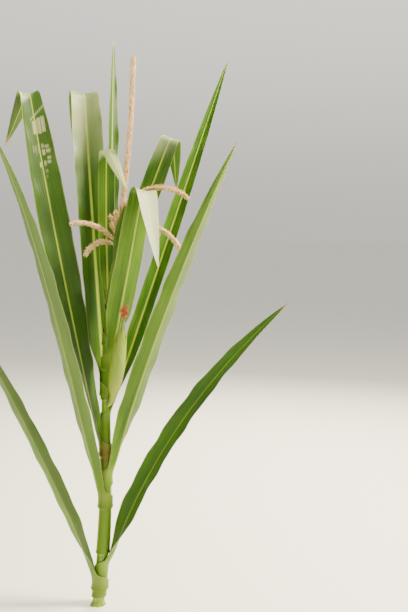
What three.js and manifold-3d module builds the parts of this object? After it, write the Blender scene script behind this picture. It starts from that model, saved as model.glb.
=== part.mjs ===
// A whole maize plant at tasselling: one stalk with its nodes, twelve leaves, one ear in its husk, and a tassel
// with an upright spike and drooping branches. Millimetres, +Z up, the origin at the centre of the stalk's flat
// cut at ground level. +X runs to the right and -Y towards the viewer.
//
// A maize leaf is one organ: a sheath that wraps the stalk from its node up, a collar, and a long blade with a
// keeled midrib. Each leaf here is one thin closed shell, swept from its node to its tip by the same rule from
// one row of sizes. A blade that kinks and hangs down is cut in two solids at the middle of the kink.

import * as THREE from "three";
import { mergeVertices } from "three/addons/utils/BufferGeometryUtils.js";
import Module from "manifold-3d";

const wasm = await Module();
wasm.setup();

// Between any two solids that touch in the plant
const GAP = 0.4;

// Stalk
const STALK_TOP = 985; // height of the tassel's foot
const STALK_FOOT_R = 17.5;
const STALK_TIP_R = 4.6;
const STALK_TAPER = 1.2; // over 1 keeps the lower stalk stout
const STALK_LEAN_X = 54; // how far the top stands to the right of the foot
const STALK_LEAN_Y = -12;
const STALK_SWAY = 8; // the stalk's slight S
const FLARE_R = 5.5; // the foot widens by this at the ground
const FLARE_HEIGHT = 16;
const NODE_BULGE = 1.4; // a node stands out this much from the stalk
const NODE_HALF = 7; // half the height of a node's swelling
const STALK_SIDES = 10;
const RING_CLOSEST = 1; // a ring nearer than this to the one below it is left out

// Leaf sheaths
const SHEATH_WALL = 2.0;
const SHEATH_TURN = 330; // degrees of the stalk that a sheath wraps
const SHEATH_COVER = 14; // a sheath covers the foot of the next one by this

// Collars, where a sheath opens into its blade
const COLLAR_RUN = 34;
const COLLAR_FLARE = 2; // the ring widens by this as it opens
const COLLAR_TURN = 120; // degrees that the blade's foot still wraps

// Leaf blades
const ACROSS = 8; // faces across a leaf
const BLADE_TURN = 26; // degrees that a blade's shallow gutter bends
const FOOT_RUN = 110; // length over which a blade's foot flattens and takes its width
const FOOT_WIDTH = 0.8; // width where the blade starts, as a share of its widest
const WIDEST_AT = 0.32; // share of the length where a blade is widest, unless its row says another
const TAPER_POWER = 2.6;
const TIP_WIDTH = 3;
const TIP_THICK = 2.4;
const MARGIN_THICK = 2.0;
const KEEL_SHARE = 0.01; // depth of the midrib as a share of the blade's length
const KEEL_FADE = 1.4; // over 1 keeps the keel deep along most of the blade
const KEEL_SLENDER = 1.5; // over 1 thins the blade soon beside the midrib
const TWIST_BY = 0.25; // a blade has twisted fully by this share of its length, unless its row says another
const FOLD_RUN = 50; // length over which a blade kinks
const FOLD_CUT = 0.5; // half the gap between the two solids of a kinked blade
const FOLD_ROWS = [-0.5, -0.3, -0.12, 0.12, 0.3, 0.5]; // rows through a kink, as shares of FOLD_RUN from its middle
const ROW_CLOSEST = 3; // a row nearer than this to another is left out
const WALK_STEP = 0.5; // step along a midrib

// One leaf a row, from the ground up. collar: height where the sheath ends and the blade starts. sheath: its
// length, where it doesn't start inside the leaf below. facing: degrees about the stalk, 0 to the right and -90
// to the viewer. lean: degrees from upright where the blade starts. arch: what it gains to the tip, late along
// the blade with a higher power. twist: degrees about the midrib, all gained by the share twistBy of the length.
// kink: share of the length where it kinks over, by fold degrees, or toward its upper side by negative ones.
// veer: degrees that the hanging tip bears aside.
const LEAVES = [
  { collar: 62, sheath: 36, facing: 194, length: 880, width: 64, lean: 14, arch: 13, power: 0.35, twist: -35 },
  { collar: 104, sheath: 54, facing: -10, length: 940, width: 74, lean: 19, arch: 29, twist: 48, twistBy: 0.2 },
  { collar: 305, sheath: 150, facing: 216, length: 1080, width: 70, lean: 14, arch: 14, power: 4, twist: 12 },
  { collar: 372, facing: -16, length: 1010, width: 66, lean: 17, arch: 9, twist: -40 },
  { collar: 455, facing: 174, length: 1200, width: 92, widestAt: 0.5,
    lean: 12.5, arch: -4, twist: -60, twistBy: 0.56, kink: 0.855, fold: 148, veer: 24 },
  { collar: 542, facing: 35, length: 1130, width: 50, lean: 22, arch: 0, twist: 50 },
  { collar: 630, sheath: 28, facing: 114, length: 1080, width: 92, widestAt: 0.66,
    lean: 13, arch: -4, kink: 0.81, fold: 150 },
  { collar: 705, facing: -24, length: 735, width: 80,
    lean: 13.5, arch: -3, twist: -36, kink: 0.675, fold: 145, veer: 2 },
  { collar: 775, facing: 89, length: 880, width: 44, lean: 13, arch: -3, twist: 45 },
  { collar: 838, facing: 112, length: 620, width: 46, widestAt: 0.55,
    lean: 15, arch: -23, power: 0.5, twist: -12, twistBy: 0.3, kink: 0.7545, fold: -145, veer: -20 },
  { collar: 892, facing: 16, length: 645, width: 62, widestAt: 0.45,
    lean: 19, arch: 4, twist: 69, kink: 0.74, fold: 140, veer: -18 },
  { collar: 940, facing: -45, length: 215, width: 38, lean: 12, arch: 4, twist: -20 },
];
const LEAF_ROWS = 10; // rows along a whole blade
const KINKED_ROWS = 7; // and along a kinked one up to its kink
const HANGING_ROWS = 4; // and beyond it

// Ear, which stands out from the stalk just above the sixth leaf's collar
const EAR_FOOT = 586;
const EAR_FACING = -50;
const EAR_LEAN = 14;
const SHANK_LEAN = 62; // degrees from upright where the shank leaves the stalk
const SHANK_LENGTH = 46;
const SHANK_R = 6.5;
const HUSK_LENGTH = 225;
const HUSK_R = 20;
const HUSK_TIP_R = 5;
const HUSK_WIDEST = 0.8; // under 1 brings the widest place below the middle
const HUSK_FULL = 0.75; // under 1 keeps the husk full towards its ends
const HUSK_SIDES = 12;
const HUSK_STEPS = 12;
const SHANK_STEPS = 6;
const SILK_LENGTH = 44;
const SILK_RADII = [4, 8.8, 11, 8.8, 3]; // of the tuft, from the husk's tip out
const SILK_SIDES = 8;

// Tassel
const SPIKE_LENGTH = 570;
const SPIKE_LEAN = 10.5; // degrees from upright, to the right
const SPIKE_DROOP = -9; // what it gains to its tip, where it stands nearly upright
const SPIKE_BARE = 118; // the lower part of the spike bears the branches
const BRANCH_BARE = 18;
const RACHIS_R = 2.6;
const BRANCH_R = 1.9;
const TWIG_TIP_R = 1.1;
const TWIG_SIDES = 6;
const TWIG_STEPS = 6;
const SPIKELET_LENGTH = 17;
const SPIKELET_R = 3.0;
const SPIKELET_LEAN = 24; // degrees from the twig
const SPIKELET_STEP = 15;
const SPIKELET_ROUND = 137.5; // degrees from each spikelet to the next about the twig

// One branch a row. up: height of its foot above the spike's. rise: degrees from upright where it leaves the
// spike, and droop: what it gains to its tip.
const BRANCHES = [
  { up: 48, facing: 228, length: 132, rise: 54, droop: 98 },
  { up: 56, facing: 200, length: 154, rise: 32, droop: 72 },
  { up: 64, facing: -122, length: 58, rise: 8, droop: 44 },
  { up: 74, facing: 60, length: 80, rise: 16, droop: 45 },
  { up: 84, facing: -165, length: 60, rise: 8, droop: 36 },
  { up: 94, facing: 2, length: 205, rise: 60, droop: 97 },
  { up: 100, facing: -100, length: 60, rise: 12, droop: 50 },
  { up: 106, facing: -14, length: 262, rise: 7, droop: 126 },
];

const radians = THREE.MathUtils.degToRad;
const lerp = THREE.MathUtils.lerp;
const clamp01 = (x) => THREE.MathUtils.clamp(x, 0, 1);
const smooth = (x) => THREE.MathUtils.smoothstep(x, 0, 1);
const outward = (degrees) => new THREE.Vector3(Math.cos(radians(degrees)), Math.sin(radians(degrees)), 0);

// The plant's colours, in sRGB
const finish = (color, roughness) => new THREE.MeshStandardMaterial({ color, roughness, metalness: 0 });
const LEAF_GREEN = finish("#5d8a35", 0.5);
const STALK_GREEN = finish("#93a83f", 0.45);
const HUSK_GREEN = finish("#a3b75a", 0.6);
const SILK_RED = finish("#b8604a", 0.7);
const TASSEL_TAN = finish("#c79f83", 0.8);

const plant = new THREE.Group();
plant.name = "maize_plant";

function addPiece(name, geometry, material) {
  const mesh = new THREE.Mesh(geometry, material);
  mesh.name = name;
  plant.add(mesh);
}

function closedGeometry(points, index) {
  const geometry = new THREE.BufferGeometry().setFromPoints(points);
  geometry.setIndex(index);
  return geometry;
}

// The centre line of the stalk, as a point for a height.
function stalkAxis(z) {
  const t = z / STALK_TOP;
  return new THREE.Vector3(STALK_LEAN_X * t + STALK_SWAY * Math.sin(2 * Math.PI * t), STALK_LEAN_Y * t * t, z);
}

// The height of each leaf's node: a little below the collar of the leaf before, whose sheath covers it.
const nodes = LEAVES.map((leaf, i) => {
  const covered = i > 0 ? LEAVES[i - 1].collar - SHEATH_COVER : 0;
  return leaf.sheath ? leaf.collar - leaf.sheath : covered;
});

// The stalk's radius: an even taper, a flare at the ground, and a swelling at each node.
function stalkRadius(z) {
  const taper = lerp(STALK_FOOT_R, STALK_TIP_R, (z / STALK_TOP) ** STALK_TAPER);
  const flare = FLARE_R * Math.max(0, 1 - z / FLARE_HEIGHT) ** 2;
  const swellings = nodes.map((node) => NODE_BULGE * smooth(1 - Math.abs(z - node) / NODE_HALF));
  return taper + flare + Math.max(...swellings);
}

// Heights that the stalk's rings share with the rows of the sheaths round it, so that both run straight between
// the same heights and stay clear of each other.
const ringHeights = [0, FLARE_HEIGHT / 3, (2 * FLARE_HEIGHT) / 3, STALK_TOP]
  .concat(nodes.flatMap((node) => [node - NODE_HALF, node, node + NODE_HALF]))
  .concat(LEAVES.map((leaf) => leaf.collar + COLLAR_RUN))
  .sort((a, b) => a - b);

// A ring of flat faces needs its corners further out than r, for its faces to clear a round of radius r.
const cornerRadius = (r) => r / Math.cos(radians(SHEATH_TURN) / ACROSS / 2);

// The radius inside the sheath of leaf i: clear of the stalk, and of the next sheath from where that starts.
function sheathRadius(i, z) {
  const overStalk = cornerRadius(stalkRadius(z) + GAP);
  return z < nodes[i + 1] || i === LEAVES.length - 1 ? overStalk : cornerRadius(overStalk + SHEATH_WALL + GAP);
}

// Closes two grids of points, a leaf's upper face and its lower face, into one thin solid.
function thinShell(rows) {
  const columns = ACROSS + 1;
  const last = rows.length - 1;
  const points = [...rows.flatMap((row) => row.upper), ...rows.flatMap((row) => row.lower)];
  const index = [];
  const upper = (r, c) => r * columns + c;
  const lower = (r, c) => (rows.length + r) * columns + c;
  const quad = (a, b, c, d) => {
    const viaAC = points[a].distanceTo(points[c]) <= points[b].distanceTo(points[d]);
    index.push(...(viaAC ? [a, b, c, a, c, d] : [a, b, d, b, c, d]));
  };
  for (let r = 0; r < last; r++) {
    for (let c = 0; c < ACROSS; c++) {
      quad(upper(r, c), upper(r + 1, c), upper(r + 1, c + 1), upper(r, c + 1));
      quad(lower(r, c), lower(r, c + 1), lower(r + 1, c + 1), lower(r + 1, c));
    }
    quad(upper(r, 0), lower(r, 0), lower(r + 1, 0), upper(r + 1, 0));
    quad(upper(r, ACROSS), upper(r + 1, ACROSS), lower(r + 1, ACROSS), lower(r, ACROSS));
  }
  for (let c = 0; c < ACROSS; c++) {
    quad(upper(0, c), upper(0, c + 1), lower(0, c + 1), lower(0, c));
    quad(upper(last, c), lower(last, c), lower(last, c + 1), upper(last, c + 1));
  }
  return closedGeometry(points, index);
}

// One row across a leaf: an arc of the stated width and turn about the midrib. The lower face lies under it by
// the keel's depth at the midrib and by less towards the margins.
function rowAcross(stop, width, turn, keel, margin) {
  const radius = width / radians(turn);
  const upper = [];
  const lower = [];
  for (let k = 0; k <= ACROSS; k++) {
    const u = (2 * k) / ACROSS - 1;
    const angle = (u * radians(turn)) / 2;
    const point = stop.point.clone();
    point.addScaledVector(stop.across, radius * Math.sin(angle));
    point.addScaledVector(stop.above, radius * (1 - Math.cos(angle)));
    const down = stop.across.clone().multiplyScalar(Math.sin(angle));
    down.addScaledVector(stop.above, -Math.cos(angle));
    const depth = lerp(margin, keel, (1 - Math.abs(u)) ** KEEL_SLENDER);
    upper.push(point);
    lower.push(point.clone().addScaledVector(down, depth));
  }
  return { upper, lower };
}

// The rows of a leaf's sheath, from its node up to just under its collar.
function sheathRows(leaf, i) {
  const out = outward(leaf.facing);
  const across = new THREE.Vector3(-out.y, out.x, 0);
  return ringHeights
    .filter((z) => z >= nodes[i] && z < leaf.collar - ROW_CLOSEST)
    .map((z) => {
      const radius = sheathRadius(i, z);
      const stop = { point: stalkAxis(z).addScaledVector(out, radius), across, above: out.clone().negate() };
      return rowAcross(stop, radius * radians(SHEATH_TURN), SHEATH_TURN, SHEATH_WALL, SHEATH_WALL);
    });
}

// Walks a blade's midrib from the collar, at first beside the leaning stalk. Each stop holds its place, the way
// across and the way that the upper face looks.
function walkMidrib(leaf, i) {
  const point = stalkAxis(leaf.collar).addScaledVector(outward(leaf.facing), sheathRadius(i, leaf.collar));
  const stalkSlope = stalkAxis(leaf.collar + 1).sub(stalkAxis(leaf.collar)).setZ(0);
  const foldStart = (leaf.kink ?? 1) * leaf.length - FOLD_RUN / 2;
  const out = outward(leaf.facing);
  const stops = [];
  for (let s = 0; s <= leaf.length; s += WALK_STEP) {
    const t = s / leaf.length;
    const leaning = (leaf.lean + leaf.arch * t ** (leaf.power ?? 1)) * smooth(s / COLLAR_RUN);
    const lean = radians(leaning);
    const along = out.clone().multiplyScalar(Math.sin(lean)).setZ(Math.cos(lean));
    const twist = radians((leaf.twist ?? 0) * smooth(t / (leaf.twistBy ?? TWIST_BY)));
    const across = new THREE.Vector3(-out.y, out.x, 0).applyAxisAngle(along, twist);
    const kinked = smooth((s - foldStart) / FOLD_RUN);
    along.applyAxisAngle(across, radians((leaf.fold ?? 0) * kinked));
    const above = along.clone().cross(across);
    along.applyAxisAngle(above, radians((leaf.veer ?? 0) * kinked));
    across.applyAxisAngle(above, radians((leaf.veer ?? 0) * kinked));
    stops.push({ point: point.clone(), across, above });
    point.addScaledVector(along, WALK_STEP);
    point.addScaledVector(stalkSlope, WALK_STEP * smooth(2 - s / COLLAR_RUN));
  }
  return stops;
}

// A blade's width: from a narrower foot to its widest third, and on to a long point.
function bladeWidth(leaf, s) {
  const t = clamp01(s / leaf.length);
  const widestAt = leaf.widestAt ?? WIDEST_AT;
  const rise = lerp(FOOT_WIDTH, 1, Math.sin((Math.PI / 2) * clamp01(t / widestAt)));
  const fall = 1 - clamp01((t - widestAt) / (1 - widestAt)) ** TAPER_POWER;
  return lerp(TIP_WIDTH, leaf.width, rise * fall);
}

// The row across a blade at length s from the collar.
function bladeRow(leaf, i, stops, s, ownLength) {
  const opened = smooth(s / COLLAR_RUN);
  const settled = smooth((s - COLLAR_RUN) / FOOT_RUN);
  const collarTurn = lerp(SHEATH_TURN, COLLAR_TURN, opened);
  const collarRadius = sheathRadius(i, leaf.collar) + COLLAR_FLARE * opened;
  const plainWidth = bladeWidth(leaf, s);
  const width = lerp(collarRadius * radians(collarTurn), plainWidth, settled);
  const turn = lerp(collarTurn, BLADE_TURN, settled);
  const deepKeel = ownLength * KEEL_SHARE * Math.min(1, (KEEL_FADE * plainWidth) / leaf.width);
  const keel = lerp(SHEATH_WALL, Math.max(TIP_THICK, deepKeel), opened);
  return rowAcross(stops[Math.round(s / WALK_STEP)], width, turn, keel, MARGIN_THICK);
}

// The rows of a blade's stretch: even ones, and closer ones where the collar opens or the blade kinks.
function bladeRows(leaf, i, from, to, count) {
  const start = Math.max(from, COLLAR_RUN);
  const lengths = [...Array(count + 1).keys()].map((k) => lerp(start, to, k / count));
  if (from === 0) {
    lengths.push(0, COLLAR_RUN / 3, (2 * COLLAR_RUN) / 3);
  }
  if (leaf.kink) {
    const kinkRows = FOLD_ROWS.map((share) => leaf.kink * leaf.length + share * FOLD_RUN);
    const inside = kinkRows.filter((s) => s > from && s < to);
    lengths.push(...inside.filter((s) => lengths.every((other) => Math.abs(s - other) > ROW_CLOSEST)));
  }
  const stops = walkMidrib(leaf, i);
  return lengths.sort((a, b) => a - b).map((s) => bladeRow(leaf, i, stops, s, to - from));
}

// The leaves, lowest first.
function makeLeaves() {
  LEAVES.forEach((leaf, i) => {
    const name = `leaf_${String(i + 1).padStart(2, "0")}`;
    const sheath = sheathRows(leaf, i);
    if (leaf.kink) {
      const kink = leaf.kink * leaf.length;
      const standing = bladeRows(leaf, i, 0, kink - FOLD_CUT, KINKED_ROWS);
      addPiece(name, thinShell([...sheath, ...standing]), LEAF_GREEN);
      const hanging = bladeRows(leaf, i, kink + FOLD_CUT, leaf.length, HANGING_ROWS);
      addPiece(`${name}_hanging_tip`, thinShell(hanging), LEAF_GREEN);
    } else {
      addPiece(name, thinShell([...sheath, ...bladeRows(leaf, i, 0, leaf.length, LEAF_ROWS)]), LEAF_GREEN);
    }
  });
}

// A closed tapering tube through given centres. level keeps every ring flat, as on the stalk.
function taperedTube(centres, radii, sides, level = false) {
  const up = new THREE.Vector3(0, 0, 1);
  const turned = new THREE.Quaternion();
  let along = up;
  const points = centres.flatMap((centre, k) => {
    const before = centres[Math.max(0, k - 1)];
    const after = centres[Math.min(centres.length - 1, k + 1)];
    const next = level ? up : after.clone().sub(before).normalize();
    turned.premultiply(new THREE.Quaternion().setFromUnitVectors(along, next));
    along = next;
    return [...Array(sides).keys()].map((c) => {
      const spoke = outward((360 * c) / sides).multiplyScalar(radii[k]);
      return spoke.applyQuaternion(turned).add(centre);
    });
  });
  const index = [];
  const lastRing = (centres.length - 1) * sides;
  for (let ring = 0; ring < lastRing; ring += sides) {
    for (let c = 0; c < sides; c++) {
      const a = ring + c;
      const b = ring + ((c + 1) % sides);
      index.push(a, b, b + sides, a, b + sides, a + sides);
    }
  }
  for (let c = 1; c < sides - 1; c++) {
    index.push(0, c + 1, c, lastRing, lastRing + c, lastRing + c + 1);
  }
  return closedGeometry(points, index);
}

function makeStalk() {
  const rings = ringHeights.filter((z, k, all) => k === 0 || z - all[k - 1] > RING_CLOSEST);
  addPiece("stalk", taperedTube(rings.map(stalkAxis), rings.map(stalkRadius), STALK_SIDES, true), STALK_GREEN);
}

// A curve in one upright plane that starts at a lean and gains more of it on the way.
function droopingCurve(start, facing, lean, gain, length, steps) {
  const points = [start];
  const step = length / steps;
  for (let k = 0; k < steps; k++) {
    const angle = radians(lean + (gain * (k + 0.5)) / steps);
    const along = outward(facing).multiplyScalar(Math.sin(angle)).setZ(Math.cos(angle));
    points.push(points[k].clone().addScaledVector(along, step));
  }
  return points;
}

// The ear: a shank that leaves the stalk at a slant and turns up, and the husk, a spindle of wrapped leaves.
function makeEar() {
  const footRadius = stalkRadius(EAR_FOOT) + GAP + SHANK_R * Math.cos(radians(SHANK_LEAN));
  const foot = stalkAxis(EAR_FOOT).addScaledVector(outward(EAR_FACING), footRadius);
  const turnUp = EAR_LEAN - SHANK_LEAN;
  const shank = droopingCurve(foot, EAR_FACING, SHANK_LEAN, turnUp, SHANK_LENGTH, SHANK_STEPS);
  const husk = droopingCurve(shank.pop(), EAR_FACING, EAR_LEAN, 0, HUSK_LENGTH, HUSK_STEPS);
  const huskRadii = husk.map((_, k) => {
    const t = k / HUSK_STEPS;
    const belly = Math.sin(Math.PI * t ** HUSK_WIDEST) ** HUSK_FULL;
    return lerp(SHANK_R, HUSK_TIP_R, t) + (HUSK_R - SHANK_R) * belly;
  });
  const radii = [...shank.map(() => SHANK_R), ...huskRadii];
  addPiece("ear", taperedTube([...shank, ...husk], radii, HUSK_SIDES), HUSK_GREEN);

  const along = husk[HUSK_STEPS].clone().sub(husk[0]).normalize();
  const silkFoot = husk[HUSK_STEPS].clone().addScaledVector(along, GAP);
  const silk = droopingCurve(silkFoot, EAR_FACING, EAR_LEAN, 0, SILK_LENGTH, SILK_RADII.length - 1);
  addPiece("silk", taperedTube(silk, SILK_RADII, SILK_SIDES), SILK_RED);
}

// Turns a closed geometry into a solid that can be joined.
function solidOf(geometry) {
  const bare = geometry.clone();
  bare.deleteAttribute("normal");
  bare.deleteAttribute("uv");
  const merged = mergeVertices(bare);
  const vertProperties = new Float32Array(merged.attributes.position.array);
  const triVerts = new Uint32Array(merged.index.array);
  return new wasm.Manifold(new wasm.Mesh({ numProp: 3, vertProperties, triVerts }));
}

// Joins closed geometries that run into each other into one.
function fused(geometries) {
  const whole = geometries.map(solidOf).reduce((sum, solid) => sum.add(solid));
  const { vertProperties, triVerts } = whole.getMesh();
  const geometry = new THREE.BufferGeometry();
  geometry.setAttribute("position", new THREE.Float32BufferAttribute(vertProperties, 3));
  geometry.setIndex(new THREE.Uint32BufferAttribute(triVerts, 1));
  return geometry;
}

// The straight stretches from one centre to the next.
function straightPath(centres) {
  const path = new THREE.CurvePath();
  centres.slice(1).forEach((centre, k) => path.add(new THREE.LineCurve3(centres[k], centre)));
  return path;
}

// A twig of the tassel with its spikelets, each a small pointed body whose foot is sunk in the twig.
function twigWithSpikelets(centres, footRadius, bare) {
  const path = straightPath(centres);
  const length = path.getLength();
  const radii = centres.map((_, k) => lerp(footRadius, TWIG_TIP_R, k / (centres.length - 1)));
  const pieces = [taperedTube(centres, radii, TWIG_SIDES)];
  const up = new THREE.Vector3(0, 0, 1);
  for (let s = bare, k = 0; s < length; s += SPIKELET_STEP, k++) {
    const along = path.getTangent(s / length);
    const aside = new THREE.Vector3(1, 0, 0).cross(along).normalize();
    aside.applyAxisAngle(along, radians(SPIKELET_ROUND * k));
    const lean = radians(SPIKELET_LEAN);
    const heading = along.clone().multiplyScalar(Math.cos(lean)).addScaledVector(aside, Math.sin(lean));
    const spikelet = new THREE.OctahedronGeometry(1);
    spikelet.scale(SPIKELET_R, SPIKELET_R, SPIKELET_LENGTH / 2);
    spikelet.applyQuaternion(new THREE.Quaternion().setFromUnitVectors(up, heading));
    const middle = path.getPoint(s / length).addScaledVector(heading, SPIKELET_LENGTH / 2);
    spikelet.translate(...middle);
    pieces.push(spikelet);
  }
  return fused(pieces);
}

function makeTassel() {
  const spikeFoot = stalkAxis(STALK_TOP).setZ(STALK_TOP + GAP + RACHIS_R * Math.sin(radians(SPIKE_LEAN)));
  const spike = droopingCurve(spikeFoot, 0, SPIKE_LEAN, SPIKE_DROOP, SPIKE_LENGTH, TWIG_STEPS);
  const spikePath = straightPath(spike);
  addPiece("tassel_spike", twigWithSpikelets(spike, RACHIS_R, SPIKE_BARE), TASSEL_TAN);
  BRANCHES.forEach((branch, i) => {
    const firstLean = radians(branch.rise + branch.droop / (2 * TWIG_STEPS));
    const share = branch.up / SPIKE_LENGTH;
    const offset = lerp(RACHIS_R, TWIG_TIP_R, share) + GAP + BRANCH_R * Math.cos(firstLean);
    const foot = spikePath.getPoint(share).addScaledVector(outward(branch.facing), offset);
    const curve = droopingCurve(foot, branch.facing, branch.rise, branch.droop, branch.length, TWIG_STEPS);
    addPiece(`tassel_branch_${i + 1}`, twigWithSpikelets(curve, BRANCH_R, BRANCH_BARE), TASSEL_TAN);
  });
}

makeStalk();
makeLeaves();
makeEar();
makeTassel();

export default plant;
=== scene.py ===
# %% [markdown]
# # A maize plant at tasselling
#
# A maize plant is one upright stalk, ringed by nodes, with one long leaf at each node, an ear in its husk
# half way up and a tassel of male flowers on top. The CAD model beside this script holds every organ as a
# plain solid at its real size and place. This lesson replaces each of them by the thin, veined and ruffled
# thing that grows, built by the same rule of growth and carried further. Everything is in metres, +Z up.

# %% Load the frame
import math

import bpy
import numpy as np
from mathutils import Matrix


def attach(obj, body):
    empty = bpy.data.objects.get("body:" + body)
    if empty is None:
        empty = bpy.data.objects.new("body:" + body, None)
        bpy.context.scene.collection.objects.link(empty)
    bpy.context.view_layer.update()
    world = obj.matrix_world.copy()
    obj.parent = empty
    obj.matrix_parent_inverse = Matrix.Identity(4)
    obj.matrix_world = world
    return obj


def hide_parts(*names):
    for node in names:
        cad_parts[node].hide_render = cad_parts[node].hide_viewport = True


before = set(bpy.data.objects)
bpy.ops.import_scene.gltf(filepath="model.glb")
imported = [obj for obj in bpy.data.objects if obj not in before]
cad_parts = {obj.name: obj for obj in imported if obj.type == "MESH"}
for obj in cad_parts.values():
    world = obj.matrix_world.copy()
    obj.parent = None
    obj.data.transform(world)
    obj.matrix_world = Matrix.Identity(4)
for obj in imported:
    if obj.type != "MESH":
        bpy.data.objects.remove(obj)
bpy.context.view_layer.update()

# %% [markdown]
# ## Small helpers
#
# An operator in Blender acts on all that is selected, and the CAD nodes come in selected, so every new piece
# starts by deselecting. The other helpers blend numbers, and turn a colour as painters write it, in sRGB hex,
# to the linear light that shaders calculate with.

# %% Helpers for numbers, colours and selection
def deselect():
    """Leaves nothing selected, so that the next operator acts on the new piece alone."""
    bpy.ops.object.select_all(action="DESELECT")


def smooth(x):
    """Rises softly from 0 at x = 0 to 1 at x = 1."""
    x = np.clip(x, 0, 1)
    return x * x * (3 - 2 * x)


def blend(a, b, share):
    """A number between a and b."""
    return a + (b - a) * share


def outward(degrees):
    """The level direction away from the stalk at an angle about it: 0 is to the right, -90 to the viewer."""
    turn = np.radians(degrees)
    return np.stack([np.cos(turn), np.sin(turn), np.zeros_like(turn)], -1)


def colour(code):
    """An sRGB hex colour as linear RGBA."""
    channels = [int(code[k : k + 2], 16) / 255 for k in (1, 3, 5)]
    return [c / 12.92 if c <= 0.04045 else ((c + 0.055) / 1.055) ** 2.4 for c in channels] + [1]


random = np.random.default_rng(7)
print("A leaf green in linear light:", [round(c, 3) for c in colour("#5d8a35")])

# %% [markdown]
# ## How the stalk grows
#
# The stalk leans a little to the right, sways, tapers, and swells at each node, where a leaf's sheath is
# attached. Every leaf is placed from this one centre line, so it comes first, as two functions of height.

# %% The stalk's centre line and radius
GAP = 0.0004
STALK_TOP = 0.985
STALK_FOOT_R = 0.0175
STALK_TIP_R = 0.0046
STALK_TAPER = 1.2
STALK_LEAN_X = 0.054
STALK_LEAN_Y = -0.012
STALK_SWAY = 0.008
FLARE_R = 0.0055
FLARE_HEIGHT = 0.016
NODE_BULGE = 0.0014
NODE_HALF = 0.007


def stalk_axis(z):
    """The centre line of the stalk, as points for heights."""
    z = np.asarray(z, float)
    t = z / STALK_TOP
    return np.stack([STALK_LEAN_X * t + STALK_SWAY * np.sin(2 * np.pi * t), STALK_LEAN_Y * t * t, z], -1)


def stalk_radius(z):
    """The stalk's radius at heights: an even taper, a flare at the ground, and a swelling at each node."""
    z = np.asarray(z, float)
    taper = blend(STALK_FOOT_R, STALK_TIP_R, (z / STALK_TOP) ** STALK_TAPER)
    flare = FLARE_R * np.clip(1 - z / FLARE_HEIGHT, 0, 1) ** 2
    swelling = np.max([NODE_BULGE * smooth(1 - np.abs(z - node) / NODE_HALF) for node in NODES], 0)
    return taper + flare + swelling


# %% [markdown]
# ## The leaves' own sizes
#
# One row a leaf, from the ground up, in metres and degrees. The names are those of a botanist's notes:
#
# - The collar is the height where the sheath ends and the blade starts. The sheath's length is given where it
#   doesn't reach down to the node that the leaf below covers. Facing is the way the leaf leaves the stalk.
# - The lean is measured from upright, the arch is what it gains toward the tip, and the power says how late.
#   The twist turns the blade about its midrib, all of it by the share `twist_by` of the length.
# - A kink is where a long blade has buckled under its own weight. The fold is how far it turns over there,
#   and the veer how far it swings aside.
# - The gutter is how far the two halves of a blade stand up from its midrib, the ruffle how far its margins
#   wave, and the curl how far the front margin rolls up. Stout is how broad the midrib is.
# - The rest are shares of a tint: how clear the midrib shows (rib), the red-brown flush on the sheath, a
#   duller and darker grey-green, and a painted highlight, the whitish shine of sun and sky on a fold: how
#   pale the blade is painted toward its kink or tip, from how far before it (pale_run), how much more so on
#   the half that the sun meets (pale_half), and how pale the hanging tip is painted.
#
# These rows are the same as in the CAD model as far as that model has them, so both plants grow alike.

# %% The table of leaves
LEAVES = [
    dict(
        collar=0.062, sheath=0.036, facing=194, length=0.880, width=0.064, lean=14, arch=13, power=0.35,
        twist=-35, ruffle=0.0014, rib=0.55, flush=0.15, pale=0.22, pale_run=2,
    ),
    dict(
        collar=0.104, sheath=0.054, facing=-10, length=0.940, width=0.074, lean=19, arch=29,
        twist=48, twist_by=0.2, ruffle=0.0020, rib=0.5, dull_tint=0.1,
    ),
    dict(
        collar=0.305, sheath=0.150, facing=216, length=1.080, width=0.070, lean=14, arch=14, power=4,
        twist=12, ruffle=0.0014, rib=0.7, flush=0.1, pale=0.2, pale_run=2,
    ),
    dict(
        collar=0.372, facing=-16, length=1.010, width=0.066, lean=17, arch=9,
        twist=-40, gutter=20, rib=0.8, dull_tint=0.15, pale=0.4, pale_run=0.9, pale_half=1,
    ),
    dict(
        collar=0.455, facing=174, length=1.200, width=0.092, widest_at=0.5, lean=12.5, arch=-4,
        twist=-60, twist_by=0.56, kink=0.855, fold=148, veer=24, gutter=7, curl=0.009,
        flush=0.7, dull_tint=1, pale=0.8, tip_highlight=0.1,
    ),
    dict(
        collar=0.542, facing=35, length=1.130, width=0.050, lean=22, arch=0, twist=50, gutter=18,
    ),
    dict(
        collar=0.630, sheath=0.028, facing=114, length=1.080, width=0.092, widest_at=0.66, lean=13, arch=-4,
        kink=0.81, fold=150, gutter=8, stout=1.5, dull_tint=0.5, pale=0.64, pale_run=0.3, tip_highlight=0.2,
    ),
    dict(
        collar=0.705, facing=-24, length=0.735, width=0.080, lean=13.5, arch=-3,
        twist=-36, kink=0.675, fold=145, veer=2, gutter=4, ruffle=0.0010, pale=0.9, tip_highlight=0.8,
    ),
    dict(
        collar=0.775, facing=89, length=0.880, width=0.044, lean=13, arch=-3, twist=45, gutter=22,
    ),
    dict(
        collar=0.838, facing=112, length=0.620, width=0.046, widest_at=0.55, lean=15, arch=-23, power=0.5,
        twist=-12, twist_by=0.3, kink=0.7545, fold=-145, veer=-20, gutter=6, pale=0.9, tip_highlight=0.7,
    ),
    dict(
        collar=0.892, facing=16, length=0.645, width=0.062, widest_at=0.45, lean=19, arch=4,
        twist=69, kink=0.74, fold=140, veer=-18, gutter=6, pale=0.45, pale_run=0.09,
    ),
    dict(
        collar=0.940, facing=-45, length=0.215, width=0.038, lean=12, arch=4, twist=-20,
    ),
]
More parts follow.
